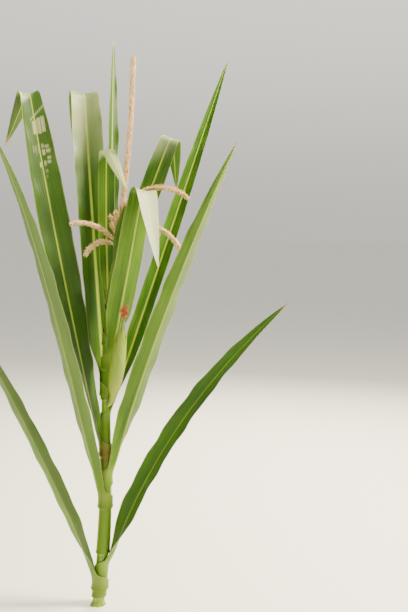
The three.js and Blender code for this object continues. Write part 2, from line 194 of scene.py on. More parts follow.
DEFAULTS = dict(
    arch=0, power=1, twist=0, twist_by=0.25, widest_at=0.32, kink=1, fold=0, veer=0,
    gutter=13, ruffle=0.0021, curl=0, stout=1, rib=1,
    flush=0, dull_tint=0, pale=0, pale_run=0.022, pale_half=0, tip_highlight=0,
)
LEAVES = [{**DEFAULTS, **leaf} for leaf in LEAVES]
SHEATH_COVER = 0.014
NODES = []
for order, leaf in enumerate(LEAVES):
    covered = LEAVES[order - 1]["collar"] - SHEATH_COVER
    NODES.append(leaf["collar"] - leaf["sheath"] if "sheath" in leaf else covered)
print("Nodes up the stalk, in mm:", [round(1000 * node) for node in NODES])

# %% [markdown]
# ## How a leaf grows
#
# A maize leaf is one sheet. Its lower part, the sheath, is rolled round the stalk and its margins overlap.
# At the collar the sheet opens, turns away and flattens into the blade. So each leaf is laid out here as one
# line to follow, the midrib, and a width and a roll about it that change along the way.

# %% From the sheath's roll to the blade's gutter
SHEATH_WALL = 0.002
SHEATH_TURN = 372
SHEATH_OVERLAP = 0.0012
SHEATH_EASE = 1.068
COLLAR_RUN = 0.034
COLLAR_FLARE = 0.002
COLLAR_TURN = 120
BLADE_TURN = 26
FOOT_RUN = 0.110
FOOT_WIDTH = 0.8
TAPER_POWER = 2.6
TIP_WIDTH = 0.0016
FOLD_RUN = 0.050
WALK_STEP = 0.0005


def sheath_radius(order, z):
    """The radius inside a sheath: clear of the stalk, and of the next sheath from where that one starts."""
    over_stalk = SHEATH_EASE * (stalk_radius(z) + GAP)
    if order == len(LEAVES) - 1:
        return over_stalk
    over_next = SHEATH_EASE * (over_stalk + SHEATH_WALL + GAP)
    return blend(over_stalk, over_next, smooth((z - NODES[order + 1]) / NODE_HALF + 1))


def turned(vector, about, angle):
    """Vectors turned about unit vectors that stand square to them."""
    return vector * np.cos(angle)[:, None] + np.cross(about, vector) * np.sin(angle)[:, None]


def walk_midrib(leaf, order, lengths):
    """A midrib at lengths from its collar: its place, the way across it, and the way the upper face looks."""
    steps = np.arange(0, leaf["length"] + WALK_STEP, WALK_STEP)
    t = steps / leaf["length"]
    lean = np.radians((leaf["lean"] + leaf["arch"] * t ** leaf["power"]) * smooth(steps / COLLAR_RUN))
    out = outward(np.full_like(t, leaf["facing"]))
    along = out * np.sin(lean)[:, None] + [0, 0, 1] * np.cos(lean)[:, None]
    level = np.stack([-out[:, 1], out[:, 0], np.zeros_like(t)], -1)
    across = turned(level, along, np.radians(leaf["twist"] * smooth(t / leaf["twist_by"])))
    fold_start = leaf["kink"] * leaf["length"] - FOLD_RUN / 2
    kinked = smooth((steps - fold_start) / FOLD_RUN)
    along = turned(along, across, np.radians(leaf["fold"] * kinked))
    above = np.cross(along, across)
    along = turned(along, above, np.radians(leaf["veer"] * kinked))
    across = np.cross(above, along)
    slope = (stalk_axis(leaf["collar"] + 0.001) - stalk_axis(leaf["collar"])) / 0.001 * [1, 1, 0]
    pace = WALK_STEP * (along + slope * smooth(2 - steps / COLLAR_RUN)[:, None])
    foot = stalk_axis(leaf["collar"]) + outward(leaf["facing"]) * sheath_radius(order, leaf["collar"])
    point = foot + np.cumsum(pace, 0) - pace
    in_sheath = (lengths < 0)[:, None]
    height = leaf["collar"] + np.minimum(lengths, 0)
    beside = stalk_axis(height) + outward(leaf["facing"]) * sheath_radius(order, height)[:, None]
    point, across, above = (
        np.stack([np.interp(lengths, steps, column) for column in table.T], -1)
        for table in (point, across, above)
    )
    return np.where(in_sheath, beside, point), across, above


def blade_width(leaf, s):
    """A blade's width: from a narrower foot to its widest part, and on to a long point."""
    t = np.clip(s / leaf["length"], 0, 1)
    rise = blend(FOOT_WIDTH, 1, np.sin(np.pi / 2 * np.clip(t / leaf["widest_at"], 0, 1)))
    fall = 1 - np.clip((t - leaf["widest_at"]) / (1 - leaf["widest_at"]), 0, 1) ** TAPER_POWER
    return blend(TIP_WIDTH, leaf["width"], rise * fall)


# %% [markdown]
# ## A leaf from a flat grid
#
# A leaf starts as a flat grid, like a sheet of paper ruled in rows and columns. Each of its points is then
# laid beside the midrib: first on the roll, then lifted by the gutter and the ruffle. The Solidify modifier
# gives the sheet its thickness below the upper face. A vertex group tells it where the leaf is thick, at the
# midrib, and where it is as thin as paper. Modelling the sheet first and its thickness after keeps both faces
# parallel, and gives the upper side, the underside and the margin a material each.

# %% Sheets, attributes and thickness
ROW_STEP = 0.004
COLUMNS = 36
MIDRIB_FINENESS = 1.35


def flat_sheet(name, rows, columns):
    """A new grid, with each point's place across it from -1 to 1 and along it from 0 to 1."""
    deselect()
    bpy.ops.mesh.primitive_grid_add(x_subdivisions=columns, y_subdivisions=rows, size=2)
    piece = bpy.context.object
    piece.name = piece.data.name = name
    flat = np.empty(len(piece.data.vertices) * 3)
    piece.data.vertices.foreach_get("co", flat)
    x, y, _ = flat.reshape(-1, 3).T
    return piece, -x, (y + 1) / 2


def lay(piece, points):
    """Moves a piece's points to their places."""
    piece.data.vertices.foreach_set("co", np.asarray(points, float).ravel())
    piece.data.update()


def mark(piece, name, values):
    """Keeps a number, or a vector of three, on each point, for the material to read."""
    values = np.asarray(values, np.float32)
    kind = "FLOAT" if values.ndim == 1 else "FLOAT_VECTOR"
    attribute = piece.data.attributes.new(name, kind, "POINT")
    attribute.data.foreach_set("value" if kind == "FLOAT" else "vector", values.ravel())


def thicken(piece, thickness):
    """Gives a sheet its thickness below its upper face, with material slots for both sides and the rim."""
    for _ in range(3):
        piece.data.materials.append(None)
    most = float(thickness.max())
    group = piece.vertex_groups.new(name="thickness")
    for index, share in enumerate(thickness / most):
        group.add([index], float(share), "REPLACE")
    solidify = piece.modifiers.new("thickness", "SOLIDIFY")
    solidify.thickness = most
    solidify.offset = -1
    solidify.vertex_group = group.name
    solidify.material_offset = 1
    solidify.material_offset_rim = 2
    bpy.ops.object.modifier_apply(modifier=solidify.name)
    piece.vertex_groups.clear()
    bpy.ops.object.shade_smooth_by_angle(angle=math.radians(50))


# %% The measures of a blade, and the windows in one of them
SHEATH_THICK = 0.0013
BLADE_THICK = 0.0005
MARGIN_THICK = 0.0003
KEEL_THICK = 0.0045
KEEL_HALF = 0.0050
CHANNEL_DEPTH = 0.0007
RUFFLE_WAVE = 0.135
SHORT_WAVE = 0.57
CURL_FROM = 0.72
GUTTER_ROUND = 0.004
FOLD_SLANT = 0.022
FOLD_SPREAD = 0.03
PLAIN_RUN = 0.2
FOOT_TINT = 0.16
FLUSH_RUN = 0.04
EDGE_FROM = 0.955
DRY_FROM = 0.965

# Where an insect has scraped leaf 5 to its lower skin, in mm: from and to along the blade, counted from the
# fold, from and to across it, counted from the midrib toward its front margin, and how clear the window is.
# A band that slants across the blade nearer the fold is half as clear.
EATEN_LEAF = 4
EATEN_PATCHES = [
    (84, 120, -9, -1.5, 1.0), (80, 121, 1.5, 5.5, 0.9), (77, 119, 7, 14, 1.0), (74, 117, 16, 26, 0.9),
    (150, 174, -3.5, -1.2, 0.9), (151, 168, -12, -8.5, 0.45), (153, 172, -19, -15.5, 0.4),
    (150, 159, 6, 13, 0.8), (152, 160, 15.5, 26, 0.75),
    (164, 180, 6.5, 13.5, 1.0), (163, 174, 17, 29, 0.9), (169, 180, -11, -8, 0.3),
    (184, 193, 17.5, 27, 0.85), (199, 213, -7, -1.5, 0.9), (197, 210, 6.5, 12, 0.85),
    (195, 203, 15.5, 25, 0.8), (221, 230, 7, 12.5, 0.5), (236, 243, 6, 10, 0.35),
]
EATEN_SOFT = 2.2
BAND_CLEAR = 0.55
BAND_AT = 70
BAND_SLOPE = 0.85
BAND_HALF = 4.5
BAND_MIDDLE = 12
BAND_REACH = 24


def eaten_windows(s, a):
    """How far each point of a blade is scraped, at mm from the fold and across."""
    from_band = np.abs(s - BAND_AT + BAND_SLOPE * a)
    in_reach = np.abs(a - BAND_MIDDLE) < BAND_REACH
    eaten = BAND_CLEAR * smooth((BAND_HALF - from_band) / EATEN_SOFT) * in_reach
    for s_from, s_to, a_from, a_to, clear in EATEN_PATCHES:
        along = smooth((s - s_from) / EATEN_SOFT + 0.5) * smooth((s_to - s) / EATEN_SOFT + 0.5)
        across = smooth((a - a_from) / EATEN_SOFT + 0.5) * smooth((a_to - a) / EATEN_SOFT + 0.5)
        eaten = np.maximum(eaten, clear * along * across)
    return eaten


# %% One leaf, laid beside its midrib
def mark_leaf(piece, order, s, u, width, keel_half):
    """Keeps on each point of a leaf its place on the leaf and the share of each tint."""
    leaf = LEAVES[order]
    t = np.clip(s / leaf["length"], 0, 1)
    from_rib = np.abs(width * u / 2)
    past_fold = s - leaf["kink"] * leaf["length"]
    mark(piece, "place", np.stack([width * u / 2, s, np.full_like(s, order)], -1))
    mark(piece, "rib", leaf["rib"] * (1 - smooth((from_rib - 0.4 * keel_half) / (0.5 * keel_half))))
    mark(piece, "edge", smooth((np.abs(u) - EDGE_FROM) / 0.03) * smooth(width / 0.02))
    mark(piece, "foot", 1 - smooth((s + 0.01) / FOOT_TINT))
    mark(piece, "collar", smooth(1 - np.abs(s - 0.6 * COLLAR_RUN) / COLLAR_RUN))
    mark(piece, "dry", smooth((t - DRY_FROM) / 0.03))
    mark(piece, "flush", leaf["flush"] * np.exp(-(((s + 0.01) / FLUSH_RUN) ** 2)) * smooth(u + 0.6))
    # Some blades take a share of a duller, darker grey-green.
    mark(piece, "dull_tint", leaf["dull_tint"] * smooth(s / PLAIN_RUN))
    # The pale share is a painted highlight: the blade is painted whitish toward its kink and on its hanging
    # tip, where sun and sky would shine on the fold, and more so on its half toward the sun.
    near_fold = smooth((past_fold + FOLD_SLANT * u) / leaf["pale_run"] + 1) * smooth(s / PLAIN_RUN)
    near_fold *= blend(1, smooth(0.5 + 5 * u), leaf["pale_half"])
    mark(piece, "pale", near_fold * blend(leaf["pale"], leaf["tip_highlight"], smooth(past_fold / FOLD_SPREAD)))
    if order == EATEN_LEAF:
        mark(piece, "eaten", eaten_windows(-1000 * past_fold, -500 * width * u))


def grow_leaf(order):
    """Makes one whole leaf, sheath and blade, as one thin closed piece."""
    leaf = LEAVES[order]
    sheath = leaf["collar"] - NODES[order]
    whole = sheath + leaf["length"]
    piece, across_share, v = flat_sheet(f"leaf_{order + 1:02d}_blade", round(whole / ROW_STEP), COLUMNS)
    s = v * whole - sheath
    t = np.clip(s / leaf["length"], 0, 1)
    u = np.sign(across_share) * np.abs(across_share) ** MIDRIB_FINENESS
    opened = smooth(s / COLLAR_RUN)
    settled = smooth((s - COLLAR_RUN) / FOOT_RUN)

    rolled = blend(SHEATH_TURN, COLLAR_TURN, opened)
    roll_radius = sheath_radius(order, leaf["collar"] + np.minimum(s, 0)) + COLLAR_FLARE * opened
    turn = np.radians(blend(rolled, BLADE_TURN, settled))
    width = blend(roll_radius * np.radians(rolled), blade_width(leaf, s), settled)
    radius = width / turn + SHEATH_OVERLAP * (1 - opened) * (u + 1) / 2
    aside = radius * np.sin(u * turn / 2)
    lifted = width / turn - radius * np.cos(u * turn / 2)

    reach = np.hypot(aside, GUTTER_ROUND) - GUTTER_ROUND
    lifted += settled * np.tan(math.radians(leaf["gutter"])) * (1 - 0.5 * t) * reach
    phases = np.where(u > 0, *random.uniform(0, 2 * np.pi, 2))
    waves = 2 * np.pi * s / RUFFLE_WAVE
    wave = np.sin(waves + phases) + 0.5 * np.sin(waves / SHORT_WAVE + 2 * phases)
    calm = smooth((s - COLLAR_RUN) / PLAIN_RUN) * smooth((1 - t) / 0.35)
    lifted += leaf["ruffle"] * wave * calm * np.abs(u) ** 2.2
    lifted += leaf["curl"] * calm * smooth((u - CURL_FROM) / (1 - CURL_FROM))
    keel_half = leaf["stout"] * KEEL_HALF * blend(1, 0.35, t) * np.minimum(1, 0.25 + width / 0.05)
    lifted -= CHANNEL_DEPTH * (1 - t) * opened * np.exp(-((aside / keel_half) ** 2))

    point, across, above = walk_midrib(leaf, order, s)
    lay(piece, point + across * aside[:, None] + above * lifted[:, None])
    mark_leaf(piece, order, s, u, width, keel_half)
    lamina = blend(BLADE_THICK, MARGIN_THICK, np.abs(u) ** 3)
    keel = KEEL_THICK * blend(1, 0.12, np.sqrt(t)) * smooth(1 - np.abs(width * u / 2) / (1.3 * keel_half))
    thickness = blend(SHEATH_THICK, np.maximum(lamina, keel), smooth(s / (2 * COLLAR_RUN)))
    thicken(piece, np.where(v == 0, 0.3 * thickness, thickness))
    return piece


leaf_pieces = [grow_leaf(order) for order in range(len(LEAVES))]
print("Leaves:", len(leaf_pieces), "faces:", sum(len(piece.data.polygons) for piece in leaf_pieces))

# %% [markdown]
# ## The stalk
#
# Between the sheaths a piece of bare stalk shows. It is a smooth cane with fine lengthwise ribs, a shallow
# groove on the side of each bud, alternating from one internode to the next, and a raised ring with a narrow
# neck on both sides at each node.
# It starts as a cylinder. Its upright edges are cut by the subdivide operator twice, which gives it 441 rows,
# and its points are laid by the same functions as the leaves.

# %% A cylinder becomes a cane
STALK_SIDES = 96
STALK_CUTS = (20, 20)
RIB_HEIGHT = 0.00012
RIB_COUNT = 16
GROOVE_DEPTH = 0.0011
GROOVE_HALF = 0.42
BUTTRESS = 0.0012
BUTTRESS_COUNT = 9
NECK_DEPTH = 0.0006
NECK_AT = 0.009
NECK_HALF = 0.003
RING_HALF = 0.006
GROOVE_FROM = 0.004
GROOVE_RISE = 0.012
FLUSH_TOP = 0.14
PLACE_R = 0.012


def grow_stalk():
    """Makes the whole stalk, from the flat cut at the ground to the tassel's foot."""
    deselect()
    bpy.ops.mesh.primitive_cylinder_add(vertices=STALK_SIDES, radius=1, depth=1, location=(0, 0, 0))
    piece = bpy.context.object
    piece.name = piece.data.name = "stalk_cane"
    bpy.context.tool_settings.mesh_select_mode = (False, True, False)
    for cuts in STALK_CUTS:
        for face in piece.data.polygons:
            face.select = False
        for edge in piece.data.edges:
            low, high = (piece.data.vertices[end].co.z for end in edge.vertices)
            edge.select = abs(low - high) > 0.001
        bpy.ops.object.mode_set(mode="EDIT")
        bpy.ops.mesh.subdivide(number_cuts=cuts)
        bpy.ops.object.mode_set(mode="OBJECT")
    flat = np.empty(len(piece.data.vertices) * 3)
    piece.data.vertices.foreach_get("co", flat)
    x, y, level = flat.reshape(-1, 3).T
    z = (level + 0.5) * STALK_TOP
    angle = np.arctan2(y, x)
    internode = np.searchsorted(NODES, z)
    facing = np.radians([leaf["facing"] for leaf in LEAVES] + [0])[internode]
    off_groove = np.angle(np.exp(1j * (angle - facing)))
    to_node = np.min([np.abs(z - node) for node in NODES], 0)
    clear = smooth((to_node - GROOVE_FROM) / GROOVE_RISE) * smooth((z - 0.02) / 0.03)
    radius = stalk_radius(z)
    radius -= GROOVE_DEPTH * clear * np.exp(-((off_groove / GROOVE_HALF) ** 2))
    radius += RIB_HEIGHT * np.cos(RIB_COUNT * angle)
    radius -= NECK_DEPTH * smooth(1 - np.abs(to_node - NECK_AT) / NECK_HALF)
    radius += BUTTRESS * np.cos(BUTTRESS_COUNT * angle) * np.clip(1 - z / FLARE_HEIGHT, 0, 1)
    lay(piece, stalk_axis(z) + outward(np.degrees(angle)) * radius[:, None])
    mark(piece, "place", np.stack([PLACE_R * np.cos(angle), z, PLACE_R * np.sin(angle)], -1))
    mark(piece, "ring", smooth(1 - to_node / RING_HALF))
    mark(piece, "flush", smooth(1 - z / FLUSH_TOP))
    bpy.ops.object.shade_smooth_by_angle(angle=math.radians(50))
    return piece


stalk = grow_stalk()
print("Stalk faces:", len(stalk.data.polygons))

# %% [markdown]
# ## The ear in its husk
#
# The ear stands on a short shank and is wrapped in husks, which are leaves without much of a blade. Each one
# covers the next, and the outer ones end in a small green tip. They are made like the leaves, from flat grids
# that are rolled about the ear's own axis, each a little further out than the last.

# %% Shank and husks
EAR_FOOT = 0.586
EAR_FACING = -50
EAR_LEAN = 14
SHANK_LEAN = 62
SHANK_LENGTH = 0.046
SHANK_R = 0.0065
SHANK_SUNK = 0.002
SHANK_STEPS = 24
HUSK_LENGTH = 0.225
HUSK_R = 0.020
HUSK_TIP_R = 0.005
HUSK_WIDEST = 0.8
HUSK_FULL = 0.75
HUSK_COUNT = 8
HUSK_LAYER = 0.00075
HUSK_ROWS = 90
HUSK_COLUMNS = 40
HUSK_TURN = 144
HUSK_RIBS = 46
HUSK_RIB_HEIGHT = 0.00022


def drooping_curve(start, facing, lean, gain, length, steps):
    """Points of a curve in one upright plane that starts at a lean and gains more of it on the way."""
    angles = np.radians(lean + gain * (np.arange(steps) + 0.5) / steps)
    along = outward(facing) * np.sin(angles)[:, None] + [0, 0, 1] * np.cos(angles)[:, None]
    return start + np.vstack([np.zeros(3), np.cumsum(along * length / steps, 0)])


def husk_spindle(t):
    """The radius of the wrapped ear at shares of its length."""
    belly = np.sin(np.pi * np.clip(t, 0, 1) ** HUSK_WIDEST) ** HUSK_FULL
    return blend(SHANK_R, HUSK_TIP_R, np.clip(t, 0, 1)) + (HUSK_R - SHANK_R) * belly


shank_offset = stalk_radius(EAR_FOOT) - SHANK_SUNK + SHANK_R * math.cos(math.radians(SHANK_LEAN))
shank_foot = stalk_axis(EAR_FOOT) + outward(EAR_FACING) * shank_offset
shank_line = drooping_curve(
    shank_foot, EAR_FACING, SHANK_LEAN, EAR_LEAN - SHANK_LEAN, SHANK_LENGTH, SHANK_STEPS
)
ear_along = outward(EAR_FACING) * math.sin(math.radians(EAR_LEAN)) + [0, 0, math.cos(math.radians(EAR_LEAN))]
ear_side = np.array([-outward(EAR_FACING)[1], outward(EAR_FACING)[0], 0])
ear_front = np.cross(ear_side, ear_along)


def grow_husk(order):
    """Makes one husk, the innermost first."""
    share = order / (HUSK_COUNT - 1)
    foot = blend(0.0, -0.10, share)
    tip = blend(1.03, 0.72, share ** 1.5) + random.uniform(-0.03, 0.03)
    piece, u, v = flat_sheet(f"husk_{order + 1}", HUSK_ROWS, HUSK_COLUMNS)
    t = blend(foot, tip, v)
    centre = HUSK_TURN * order + 40
    half_wrap = np.radians(blend(135, 100, share)) * (1 - smooth((v - 0.55) / 0.45) * 0.97)
    radius = husk_spindle(t) * np.where(t < 0, 1 + 0.5 * t, 1) + HUSK_LAYER * (order - HUSK_COUNT / 2)
    free = smooth((v - 0.88) / 0.12)
    radius = radius + free * blend(0.0005, 0.006, share) * random.uniform(0.5, 1.3)
    ripple = HUSK_RIB_HEIGHT * np.cos(u * half_wrap * HUSK_RIBS) * smooth((1 - v) / 0.2)
    angle = np.radians(centre) + u * half_wrap
    around = ear_side * np.cos(angle)[:, None] + ear_front * np.sin(angle)[:, None]
    centre_line = shank_line[-1] + ear_along * (t * HUSK_LENGTH)[:, None]
    lay(piece, centre_line + around * (np.maximum(radius, 0.0035) + ripple)[:, None])
    mark(piece, "place", np.stack([u * half_wrap * 0.018, t * HUSK_LENGTH, np.full_like(t, 20 + order)], -1))
    mark(piece, "edge", smooth((np.abs(u) - 0.94) / 0.05))
    mark(piece, "foot", 1 - smooth((t + 0.05) / 0.35))
    mark(piece, "dry", smooth((v - 0.95) / 0.05) * share)
    # The sheet is turned over, so that its upper face is the husk's inside and its thickness goes outward.
    bpy.ops.object.mode_set(mode="EDIT")
    bpy.ops.mesh.select_all(action="SELECT")
    bpy.ops.mesh.flip_normals()
    bpy.ops.object.mode_set(mode="OBJECT")
    thicken(piece, blend(0.0007, 0.0003, np.abs(u) ** 3))
    return piece


husks = [grow_husk(order) for order in range(HUSK_COUNT)]
print("Husks:", len(husks), "faces:", sum(len(piece.data.polygons) for piece in husks))

# %% [markdown]
# ## Many small things as one mesh
#
# Threads of silk and the flowers of the tassel are too many to model one by one. Their points and faces are
# worked out as arrays and handed to Blender as one mesh for each kind. A tube needs a ring of points at each
# stop of its line, turned square to the line.

# %% Tubes and joined meshes from arrays
def tube(line, radii, sides):
    """Points and faces of a closed tube along a line of points."""
    line = np.asarray(line, float)
    along = np.gradient(line, axis=0)
    along /= np.linalg.norm(along, axis=1)[:, None]
    first = np.cross(along[0], [0.31, 0.52, 0.79])
    side = [first / np.linalg.norm(first)]
    for direction in along[1:]:
        carried = side[-1] - direction * (side[-1] @ direction)
        side.append(carried / np.linalg.norm(carried))
    side = np.array(side)
    other = np.cross(along, side)
    angles = 2 * np.pi * np.arange(sides) / sides
    radii = np.broadcast_to(radii, len(line))
    spokes = side[:, None] * np.cos(angles)[:, None] + other[:, None] * np.sin(angles)[:, None]
    points = (line[:, None] + spokes * radii[:, None, None]).reshape(-1, 3)
    faces = []
    for ring in range(len(line) - 1):
        for k in range(sides):
            a = ring * sides + k
            b = ring * sides + (k + 1) % sides
            faces.append((a, b, b + sides, a + sides))
    faces.append(tuple(range(sides))[::-1])
    faces.append(tuple(range(len(points) - sides, len(points))))
    return points, faces


def joined_piece(name, parts):
    """One mesh of many closed parts, each given as its points and faces."""
    points, faces, start = [], [], 0
    for part_points, part_faces in parts:
        points.append(part_points)
        faces += [tuple(start + k for k in face) for face in part_faces]
        start += len(part_points)
    mesh = bpy.data.meshes.new(name)
    mesh.from_pydata(np.vstack(points).tolist(), [], faces)
    mesh.validate()
    piece = bpy.data.objects.new(name, mesh)
    bpy.context.scene.collection.objects.link(piece)
    deselect()
    piece.select_set(True)
    bpy.context.view_layer.objects.active = piece
    bpy.ops.object.shade_smooth_by_angle(angle=math.radians(60))
    return piece


shank_radii = SHANK_R * np.linspace(1, 0.9, SHANK_STEPS + 1)
shank = joined_piece("ear_shank", [tube(shank_line, shank_radii, 24)])
print("Shank faces:", len(shank.data.polygons))

# %% [markdown]
# ## Silk
#
# Each grain of the ear sends out one thread of silk. Fresh silk leaves the husk's tip as a damp tuft, spreads
# and falls over to all sides, reddish where the sun has reached it.

# %% A tuft of silk threads
SILK_LENGTH = 0.044
SILK_R = 0.011
SILK_THREADS = 190
SILK_THREAD_R = 0.00042


def silk_thread():
    """One thread: out of the husk's tip, up, and over to its own side."""
    side = random.uniform(0, 2 * np.pi)
    spread = np.sqrt(random.uniform(0.02, 1))
    length = SILK_LENGTH * random.uniform(0.72, 1.12)
    t = np.linspace(0, 1, 11)
    fall = random.uniform(0.2, 0.9) * spread
    out = SILK_R * spread * (0.25 + 0.95 * np.sin(np.pi / 2 * t) ** 1.3)
    up = length * (t - fall * 0.55 * t ** 3)
    wander = 0.0011 * np.sin(random.uniform(4, 9) * t + random.uniform(0, 6)) * t
    around = ear_side * math.cos(side) + ear_front * math.sin(side)
    beside = np.cross(ear_along, around)
    line = silk_foot + ear_along * up[:, None] + around * out[:, None] + beside * wander[:, None]
    return tube(line, SILK_THREAD_R * blend(1, 0.5, t), 4)


silk_foot = shank_line[-1] + ear_along * (HUSK_LENGTH - 0.006)
silk = joined_piece("silk_threads", [silk_thread() for _ in range(SILK_THREADS)])
print("Silk threads:", SILK_THREADS, "faces:", len(silk.data.polygons))

# %% [markdown]
# ## The tassel
#
# The tassel is an upright spike with branches that leave it at an angle and droop in an arch, and a few short
# ones that stand up. Along each of them stand spikelets, the small straw-coloured husks of the male flowers,
# in whorls so close that no twig shows between them. One spikelet is modelled from a sphere, and its points
# are then copied, turned and scaled along every twig.

# %% The lines of the spike and its branches
SPIKE_LENGTH = 0.570
SPIKE_LEAN = 10.5
SPIKE_DROOP = -9
SPIKE_BARE = 0.118
BRANCH_BARE = 0.016
RACHIS_R = 0.0026
BRANCH_R = 0.0019
TWIG_TIP_R = 0.0009
TWIG_STEPS = 48
TWIG_SIDES = 8
BRANCHES = [
    dict(up=0.048, facing=228, length=0.132, rise=54, droop=98),
    dict(up=0.056, facing=200, length=0.154, rise=32, droop=72),
    dict(up=0.064, facing=-122, length=0.058, rise=8, droop=44),
    dict(up=0.074, facing=60, length=0.080, rise=16, droop=45),
    dict(up=0.084, facing=-165, length=0.060, rise=8, droop=36),
    dict(up=0.094, facing=2, length=0.205, rise=60, droop=97),
    dict(up=0.100, facing=-100, length=0.060, rise=12, droop=50),
    dict(up=0.106, facing=-14, length=0.262, rise=7, droop=126),
]
twig_shares = np.linspace(0, 1, TWIG_STEPS + 1)
spike_foot = stalk_axis(STALK_TOP) - [0, 0, 0.001]
spike_line = drooping_curve(spike_foot, 0, SPIKE_LEAN, SPIKE_DROOP, SPIKE_LENGTH, TWIG_STEPS)
twigs = [dict(line=spike_line, radius=RACHIS_R, length=SPIKE_LENGTH, bare=SPIKE_BARE)]
for branch in BRANCHES:
    place = branch["up"] / SPIKE_LENGTH
    start = np.array([np.interp(place, twig_shares, column) for column in spike_line.T])
    line = drooping_curve(
        start, branch["facing"], branch["rise"], branch["droop"], branch["length"], TWIG_STEPS
    )
    twigs.append(dict(line=line, radius=BRANCH_R, length=branch["length"], bare=BRANCH_BARE))
rachis = joined_piece("tassel_rachis", [
    tube(twig["line"], blend(twig["radius"], TWIG_TIP_R, twig_shares), TWIG_SIDES) for twig in twigs
])
print("Twigs:", len(twigs), "metres of twig:", round(sum(twig["length"] for twig in twigs), 2))

# %% One spikelet from a sphere
SPIKELET_LENGTH = 0.0135
SPIKELET_WIDE = 0.0019
SPIKELET_DEEP = 0.0015


def model_spikelet():
    """Points and faces of one spikelet: two boat-shaped glumes, pressed together and pointed."""
    deselect()
    bpy.ops.mesh.primitive_uv_sphere_add(segments=6, ring_count=6, radius=1, location=(0, 0, 0))
    pattern = bpy.context.object
    flat = np.empty(len(pattern.data.vertices) * 3)
    pattern.data.vertices.foreach_get("co", flat)
    x, y, z = flat.reshape(-1, 3).T
    up = (z + 1) / 2
    full = 1 - 0.45 * smooth((up - 0.35) / 0.65)
    crease = 1 - 0.35 * np.exp(-((x / 0.35) ** 2)) * smooth(up / 0.3)
    shaped = np.stack([x * full * SPIKELET_WIDE, y * full * crease * SPIKELET_DEEP, up * SPIKELET_LENGTH], -1)
    faces = [tuple(face.vertices) for face in pattern.data.polygons]
    bpy.data.objects.remove(pattern)
    return shaped, faces


spikelet_points, spikelet_faces = model_spikelet()
print("Faces of one spikelet:", len(spikelet_faces))

# %% Spikelets in whorls along every twig
WHORL_STEP = 0.0044
WHORL = 7
SPIKELET_LEAN = 35
PEDICEL = 0.0024
TIP_RUN = 0.03


def square_frame(along):
    """Two directions square to a direction and to each other."""
    side = np.cross(along, [0.23, 0.41, 0.88])
    side /= np.linalg.norm(side)
    return side, np.cross(along, side)


def place_spikelet(foot, along, side, lean, size):
    """Points of the pattern spikelet, standing on its foot and leaning away from the twig."""
    heading = along * math.cos(lean) + side * math.sin(lean)
    wide = np.cross(heading, side)
    wide /= np.linalg.norm(wide)
    deep = np.cross(heading, wide)
    return foot + size * (spikelet_points @ np.stack([wide, deep, heading]))


tints = {"sunlit": [], "straw": [], "green": []}
for twig in twigs:
    line = twig["line"]
    stops = np.arange(twig["bare"], twig["length"] - 0.006, WHORL_STEP)
    for count, stop in enumerate(stops):
        place = stop / twig["length"] * TWIG_STEPS
        below = min(int(place), TWIG_STEPS - 1)
        middle = blend(line[below], line[below + 1], place - below)
        along = (line[below + 1] - line[below]) / np.linalg.norm(line[below + 1] - line[below])
        right, front = square_frame(along)
        twig_r = blend(twig["radius"], TWIG_TIP_R, stop / twig["length"])
        to_tip = (twig["length"] - stop) / TIP_RUN
        fullness = blend(0.62, 1, smooth(to_tip)) * blend(0.7, 1, smooth(count / 5))
        for spoke in range(WHORL):
            angle = math.radians(360 / WHORL * (spoke + 0.5 * (count % 2)) + random.uniform(-14, 14))
            side = right * math.cos(angle) + front * math.sin(angle)
            lean = math.radians(SPIKELET_LEAN + random.uniform(-7, 9))
            foot = middle + side * 0.7 * twig_r + along * random.uniform(0, PEDICEL)
            points = place_spikelet(foot, along, side, lean, fullness * random.uniform(0.88, 1.12))
            # Painted light: a spikelet that faces up takes the lighter, pinker tint as painted sunlight, one
            # that faces down the darker, greener tint as painted shade.
            sun = side[2] + random.normal(0, 0.45)
            tint = "sunlit" if sun > 0.35 else "straw" if sun > -0.55 else "green"
            tints[tint].append((points, spikelet_faces))
spikelets = {tint: joined_piece(f"spikelets_{tint}", parts) for tint, parts in tints.items()}
print("Spikelets:", {tint: len(parts) for tint, parts in tints.items()})

# %% [markdown]
# ## Materials
#
# Each material below starts from what the real surface is. One function adds a node, sets it and links it, so
# a pattern reads as a list of what feeds what. Inputs are named, or numbered where a name isn't unique: a Mix
# of colours has its share at 0 and its colours at 6 and 7, and a Map Range turns the range from 1 to 2 into
# that from 3 to 4. Patterns on leaves follow the leaf: they read the place that was kept on every point, the
# distance across and the distance along, in metres.

# %% A helper that adds a node
def node(tree, kind, inputs=None, output=0, **settings):
    """Adds a node, sets it, gives each named input a value or a link, and hands back one of its outputs."""
    made = tree.nodes.new("ShaderNode" + kind)
    for name, value in settings.items():
        setattr(made, name, value)
    for name, value in (inputs or {}).items():
        if isinstance(value, bpy.types.NodeSocket):
            tree.links.new(value, made.inputs[name])
        else:
            made.inputs[name].default_value = value
    return made.outputs[output] if made.outputs else made


def new_material(name):
    """An empty node material and its tree."""
    material = bpy.data.materials.new(name)
    material.use_nodes = True
    material.node_tree.nodes.clear()
    return material, material.node_tree


# %% [markdown]
# ### Leaf skins
#
# A maize blade is a living, waxy skin over green tissue. Its upper side is a deeper green, the underside is
# lighter and duller, and wax makes both a little whitish where light grazes them. Light that comes from
# behind passes through, yellow-green, so a Translucent shader is mixed with the surface. The veins run along
# the blade, 1.5 mm apart, with a stronger one each 6 mm, and the midrib is pale. The finest veins are left to
# the bump, because they are too fine to show as colour at this distance. Some blades are tinted a duller,
# darker grey-green, a painted highlight makes a blade whitish toward its fold and on its hanging tip, where
# sun and sky would shine on it, and the shares kept on each leaf's points say where these tints lie. Under
# them the green varies in patches of 4 by 30 cm, with streaks 2 mm wide and 20 cm long.

